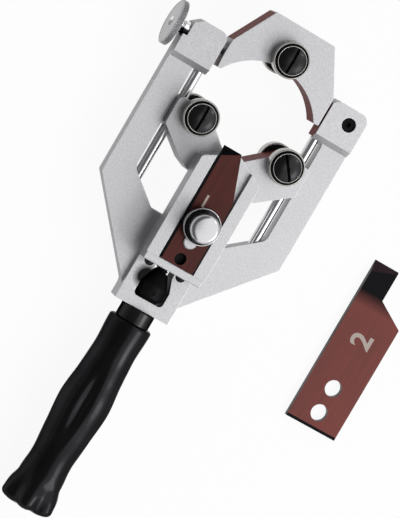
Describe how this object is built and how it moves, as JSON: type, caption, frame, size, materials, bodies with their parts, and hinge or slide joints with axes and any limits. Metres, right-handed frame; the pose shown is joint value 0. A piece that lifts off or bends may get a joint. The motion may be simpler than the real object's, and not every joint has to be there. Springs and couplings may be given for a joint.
{
  "type": "cable jacket stripper",
  "caption": "Handheld round-cable jacket stripper: roller jaws on guide rods, screw-fed by a fluted handle, with a clamped blade, swinging upper jaw and loose spare blade.",
  "frame": {"origin": "centre of the circle that the three roller pairs close on, in the plane of the feed screw", "axes": "+Y along the tool from handle to upper jaw, +Z out of its front face, +X to the right as seen from the front; the tool lies on its back"},
  "size_m": [0.2252, 0.3274, 0.0573],
  "materials": {
    "satin_aluminium": "satin, fine grain",
    "bright_steel": "polished",
    "ground_steel": "ground",
    "black_steel": "black oxide, satin",
    "black_shield": "satin",
    "black_grip": "semi-gloss",
    "brown_blade_steel": "brown oxide, satin"
  },
  "bodies": {
    "frame": {"frame": "satin_aluminium", "guide_rod_left": "bright_steel", "guide_rod_right": "bright_steel", "hinge_pin": "black_steel"},
    "slider": {"slider": "satin_aluminium", "blade_holder": "satin_aluminium", "holder_screws": "black_steel", "holder_end_plate": "satin_aluminium", "end_plate_screws": "black_steel", "cutting_blade": "brown_blade_steel", "blade_locating_screw": "ground_steel", "roller_cores_left": "black_shield", "roller_cores_right": "black_shield", "roller_spacers_left": "ground_steel", "roller_spacers_right": "ground_steel", "roller_screws_left": "black_steel", "roller_screws_right": "black_steel"},
    "upper_jaw": {"upper_jaw": "satin_aluminium", "roller_cores_upper": "black_shield", "roller_spacers_upper": "ground_steel", "roller_screws_upper": "black_steel"},
    "handle": {"handle_grip": "black_grip", "handle_neck": "black_steel", "feed_screw": "ground_steel", "thrust_collar": "black_steel", "collar_pin": "ground_steel"},
    "latch_screw": {"latch_screw": "bright_steel"},
    "latch_knob": {"latch_knob": "bright_steel"},
    "clamp_washer": {"clamp_washer": "ground_steel", "blade_stud": "ground_steel"},
    "blade_knob": {"blade_knob": "bright_steel"},
    "spare_blade": {"spare_blade": "brown_blade_steel"},
    "roller_upper_front": {"roller_upper_front": "ground_steel"},
    "roller_upper_back": {"roller_upper_back": "ground_steel"},
    "roller_left_front": {"roller_left_front": "ground_steel"},
    "roller_left_back": {"roller_left_back": "ground_steel"},
    "roller_right_front": {"roller_right_front": "ground_steel"},
    "roller_right_back": {"roller_right_back": "ground_steel"}
  },
  "joints": [
    {"name": "handle_spin", "type": "hinge", "parent": "frame", "child": "handle", "pos_m": [0, -0.1355, 0], "axis": [0, 1, 0], "range_deg": [-2880, 3600]},
    {"name": "jaw_feed", "type": "slide", "parent": "frame", "child": "slider", "axis": [0, 1, 0], "range_m": [-0.02, 0.016]},
    {"name": "jaw_swing", "type": "hinge", "parent": "frame", "child": "upper_jaw", "pos_m": [0.0527, 0.0205, 0], "axis": [0, 0, -1], "range_deg": [0, 110]},
    {"name": "latch_feed", "type": "slide", "parent": "frame", "child": "latch_screw", "axis": [-1, 0, 0], "range_m": [0, 0.006]},
    {"name": "latch_turn", "type": "hinge", "parent": "latch_screw", "child": "latch_knob", "pos_m": [-0.069, 0.0205, 0], "axis": [-1, 0, 0], "range_deg": [0, 1440]},
    {"name": "washer_lift", "type": "slide", "parent": "slider", "child": "clamp_washer", "axis": [0, 0, 1], "range_m": [0, 0.002]},
    {"name": "knob_turn", "type": "hinge", "parent": "clamp_washer", "child": "blade_knob", "pos_m": [0, -0.07374, 0.03], "axis": [0, 0, 1], "range_deg": [0, 720]},
    {"name": "spare_blade_lift", "type": "slide", "parent": "frame", "child": "spare_blade", "axis": [0, 0, 1], "range_m": [0, 0.03]},
    {"name": "roller_upper_front_spin", "type": "hinge", "parent": "upper_jaw", "child": "roller_upper_front", "pos_m": [0, 0.0358, 0.012], "axis": [0, 0, 1], "continuous": true},
    {"name": "roller_upper_back_spin", "type": "hinge", "parent": "upper_jaw", "child": "roller_upper_back", "pos_m": [0, 0.0358, -0.012], "axis": [0, 0, 1], "continuous": true},
    {"name": "roller_left_front_spin", "type": "hinge", "parent": "slider", "child": "roller_left_front", "pos_m": [-0.03, -0.01954, 0.0135], "axis": [0, 0, 1], "continuous": true},
    {"name": "roller_left_back_spin", "type": "hinge", "parent": "slider", "child": "roller_left_back", "pos_m": [-0.03, -0.01954, -0.0125], "axis": [0, 0, 1], "continuous": true},
    {"name": "roller_right_front_spin", "type": "hinge", "parent": "slider", "child": "roller_right_front", "pos_m": [0.03, -0.01954, 0.0135], "axis": [0, 0, 1], "continuous": true},
    {"name": "roller_right_back_spin", "type": "hinge", "parent": "slider", "child": "roller_right_back", "pos_m": [0.03, -0.01954, -0.0125], "axis": [0, 0, 1], "continuous": true}
  ],
  "couplings": [
    {"joint": "handle_spin", "follows": "jaw_feed", "rad_per_m": -3141.6},
    {"joint": "latch_turn", "follows": "latch_feed", "rad_per_m": 4188.8},
    {"joint": "knob_turn", "follows": "washer_lift", "rad_per_m": 6283.2}
  ]
}
